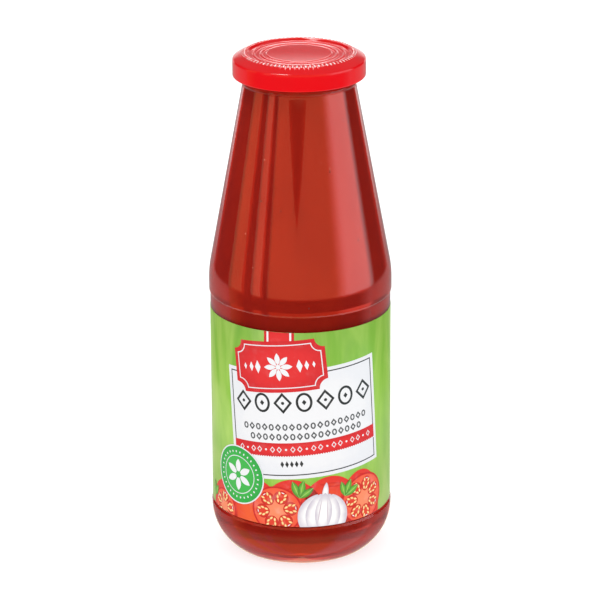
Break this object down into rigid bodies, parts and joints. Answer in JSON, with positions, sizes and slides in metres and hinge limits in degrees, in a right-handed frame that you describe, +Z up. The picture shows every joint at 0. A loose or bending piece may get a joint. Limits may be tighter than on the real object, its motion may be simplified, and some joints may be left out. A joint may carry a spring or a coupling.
{
  "type": "passata bottle",
  "caption": "Tall glass sauce bottle with sloping shoulders, filled with tomato passata, closed by a twist-off metal lid and wrapped in a paper label.",
  "frame": {"origin": "centre of the bearing ring, on the surface that the bottle stands on", "axes": "+Z up the bottle's axis to the lid, -Y towards the middle of the label's front"},
  "size_m": [0.0792, 0.0792, 0.2237],
  "materials": {
    "glass": "clear flint glass, polished, with a stippled bearing ring",
    "passata": "smooth sieved tomato, wet against the glass",
    "lacquered_lid": "glossy red lacquer on tinplate",
    "label_paper": null
  },
  "bodies": {
    "root": {"glass_bottle": "glass", "passata": "passata", "lid": "lacquered_lid", "label": "label_paper"}
  },
  "joints": []
}
